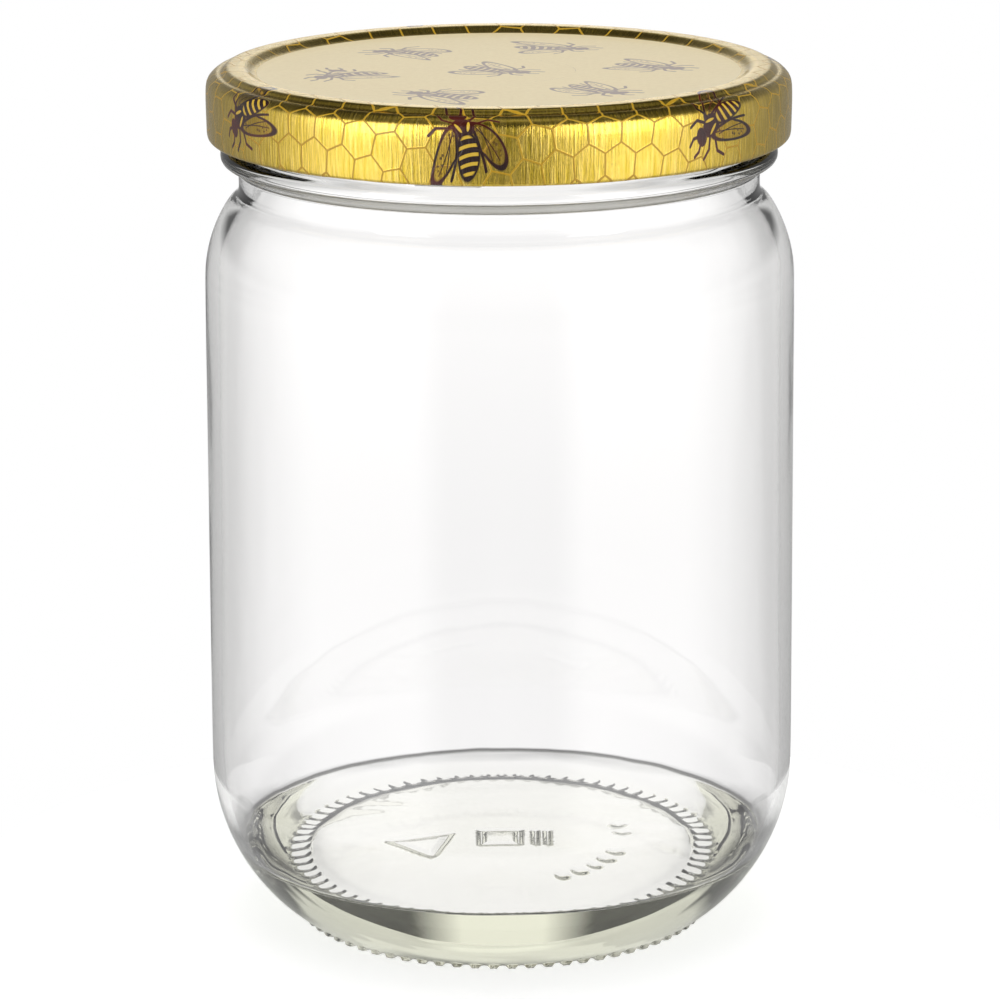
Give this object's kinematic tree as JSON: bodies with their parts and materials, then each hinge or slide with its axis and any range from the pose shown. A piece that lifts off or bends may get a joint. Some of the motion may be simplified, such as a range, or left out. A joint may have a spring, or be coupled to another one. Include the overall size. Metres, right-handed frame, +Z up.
{
  "type": "honey jar",
  "caption": "Empty clear glass honey jar with rounded shoulder and heel, knurled bearing ring and a gold honeycomb-printed twist-off lid.",
  "frame": {"origin": "on the jar's axis, at the level of the bearing ring that it stands on", "axes": "+Z up along the jar's axis through the lid, -Y towards the viewer, +X to the viewer's right"},
  "size_m": [0.0873, 0.0872, 0.1285],
  "materials": {
    "clear_glass": "gloss",
    "lacquered_tinplate": "gloss",
    "sealing_compound": "matte"
  },
  "bodies": {
    "root": {"jar_glass": "clear_glass", "lid": "lacquered_tinplate", "lid_seal": "sealing_compound"}
  },
  "joints": []
}
